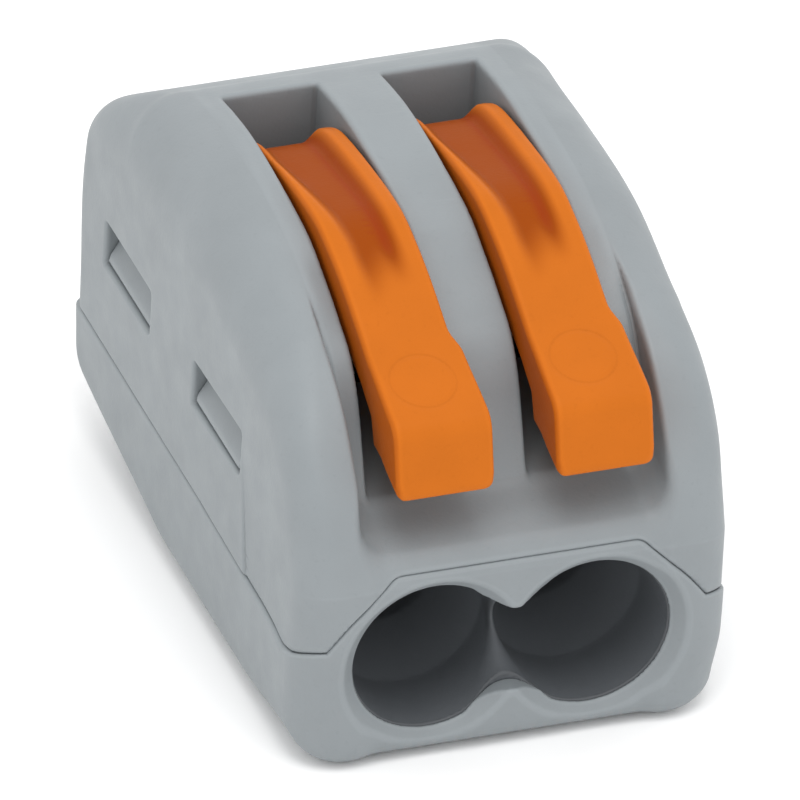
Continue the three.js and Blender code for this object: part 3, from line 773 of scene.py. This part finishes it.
def lever_field(pole):
    """A lever: its arm, which widens to the pad, and the pins that it turns on."""
    def field(x, y, z):
        x = x - pole
        flare = smooth((-6.1 - y) / 0.9)
        width = ARM_HALF + 0.12 * flare + 0.05 * smooth((-6.8 - y) / 2.5)
        back = lever_side(y, z + sink(x, y))
        corner = 0.2 + 0.12 * smooth((9.7 - z) / 0.5)
        arm = both(np.maximum(lever_side(y, z), back), np.abs(x - 0.1 * flare) - width, corner)
        pins = both(np.hypot(y - PIVOT[0], z - PIVOT[1]) - PIN, np.abs(x) - PIN_HALF, 0.12)
        return np.minimum(arm, pins)

    return field


def make_lever(side, pole):
    """A lever, with the places where shade is painted marked: the hollow along its back, and its left flank.
    """
    axes = (
        ticks(pole - 2.1, pole + 2.1, 0.075),
        ticks(-10.05, 5.2, 0.085, 0.06, [PAD_MIDDLE], 1.3),
        ticks(8.0, 14.0, 0.085),
    )
    name, body = f"lever_{side}", f"lever_{side}_body"
    made = piece(f"{name}_moulding", lever_field(pole), axes, lever_plastic, body, [name], 0.8)
    depth = made.data.attributes.new("hollow", "FLOAT", "POINT")
    places = np.array([vertex.co for vertex in made.data.vertices]) / MM
    normals = np.array([vertex.normal for vertex in made.data.vertices])
    aside = places[:, 0] - pole
    # Painted shade along the floor of the hollow, on faces that look up, strongest against its right wall.
    shadow = trough(aside, places[:, 1]) * (normals[:, 2] > 0.2) * mix(0.6, 1, smooth((aside - 0.1) / 0.5))
    # Painted shade on the faces that look left: the lever's left flank.
    flank = 0.42 * smooth((-normals[:, 0] - 0.35) / 0.5)
    depth.data.foreach_set("value", np.maximum(shadow, flank).astype(np.float32))


for side, pole in POLES.items():
    make_lever(side, pole)


# ---------------------------------------------------------------- clamp strips
THICK = 0.35                           # of the spring strip
STRIP_HALF = CAGE_HIGH[0] - POLE
ARM_TOP = CAGE_HIGH[2]
LEG_TOP = SPRING_BASE + THICK
LOOP_CENTRE = 7.2                      # y of the loop at the strip's rear
LOOP_RADIUS = (ARM_TOP - SPRING_BASE - THICK) / 2
BEND = 0.62                            # radius of the bend from the arm down into the cage
LEG_Y = CAGE_LOW[1] + THICK / 2


def ribbon(y, z, path):
    """Distance to a strip of even thickness that follows a path."""
    nearest = np.full(np.broadcast(y, z).shape, 9.0)
    for (y0, z0), (y1, z1) in zip(path, path[1:]):
        dy, dz = y1 - y0, z1 - z0
        t = np.clip(((y - y0) * dy + (z - z0) * dz) / (dy * dy + dz * dz), 0, 1)
        nearest = np.minimum(nearest, np.hypot(y - y0 - t * dy, z - z0 - t * dz))
    return nearest - THICK / 2


def strip_piece(name, path, pole, low, high, opening=None, body=None, replaced=()):
    """A piece of spring strip that follows a path of y and z between two corners, with an opening or none."""
    def field(x, y, z):
        strip = both(ribbon(y, z, path), np.abs(x - pole) - STRIP_HALF + 0.02, 0.06)
        return cut(strip, block(x - pole, y, z, *opening, 0.15), 0.05) if opening else strip

    axes = (
        ticks(pole - STRIP_HALF, pole + STRIP_HALF, 0.14, 0.08, [pole - STRIP_HALF, pole + STRIP_HALF], 0.1),
        ticks(low[0], high[0], 0.1, 0.07, [LEG_Y], 0.3),
        ticks(low[1], high[1], 0.1, 0.07, [ARM_TOP - 0.2], 0.4),
    )
    return piece(name, field, axes, spring_steel, body, replaced)


def make_strip(side, pole):
    """A pole's spring strip: the leg that bears on the busbar, and the part that flexes with the cage."""
    middle = ARM_TOP - THICK / 2
    cage_foot = CAGE_LOW[2] + THICK / 2
    flexing = [
        (LEG_Y, cage_foot), *arc((LEG_Y + BEND, middle - BEND), BEND, 180, 90, 8),
        *arc((LOOP_CENTRE, middle - LOOP_RADIUS), LOOP_RADIUS, 90, -90, 16),
    ]
    window = ((-1.55, CAGE_LOW[1] - 1, CAGE_LOW[2] + 0.9), (1.55, CAGE_LOW[1] + 1, 7.2))
    low, high = (LEG_Y, CAGE_LOW[2]), (LOOP_CENTRE + LOOP_RADIUS, ARM_TOP)
    moving = strip_piece(f"clamp_strip_{side}", flexing, pole, low, high, window,
                         replaced=[f"clamp_spring_{side}", f"clamp_cage_{side}"])
    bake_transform(moving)
    bearing = [(0.75, LEG_TOP - THICK / 2), (LOOP_CENTRE - 0.05, LEG_TOP - THICK / 2)]
    low, high = (0.6, SPRING_BASE), (LOOP_CENTRE, LEG_TOP)
    strip_piece(f"clamp_leg_{side}", bearing, pole, low, high, body="housing")


for side, pole in POLES.items():
    make_strip(side, pole)


# ---------------------------------------------------------------- busbar
BAR_HALF, BAR_FRONT, BAR_REAR = 4.3, 6.1, 8.3
TONGUE_HALF = 1.3
RIDGE_STEP, RIDGE_DEPTH = 0.8, 0.05


def busbar_field(x, y, z):
    """The busbar: a crossbar with a tongue into each pole, grooved across where the wire is pressed on it."""
    low, high = BUSBAR_LOW[2], BUSBAR_HIGH[2]
    crossbar = block(x, y, z, (-BAR_HALF, BAR_FRONT, low), (BAR_HALF, BAR_REAR, high), 0.12)
    tongue = block(mirrored(x), y, z, (-TONGUE_HALF, BUSBAR_LOW[1], low), (TONGUE_HALF, 7, high), 0.12)
    ridge = RIDGE_DEPTH * np.cos((y - BUSBAR_LOW[1]) * 2 * math.pi / RIDGE_STEP)
    ridge = ridge * (np.abs(mirrored(x)) < TONGUE_HALF - 0.2) * (y < 0.4)
    return either(crossbar, tongue, 0.3) + np.maximum(ridge, 0) * (z > high - 0.3)


busbar_axes = (
    ticks(-BAR_HALF, BAR_HALF, 0.14, 0.08, [POLE - TONGUE_HALF, -POLE + TONGUE_HALF], 0.1),
    ticks(BUSBAR_LOW[1], BUSBAR_HIGH[1], 0.12),
    ticks(BUSBAR_LOW[2], BUSBAR_HIGH[2], 0.07),
)
piece("busbar_bar", busbar_field, busbar_axes, tinned_copper, "housing", ["busbar"])
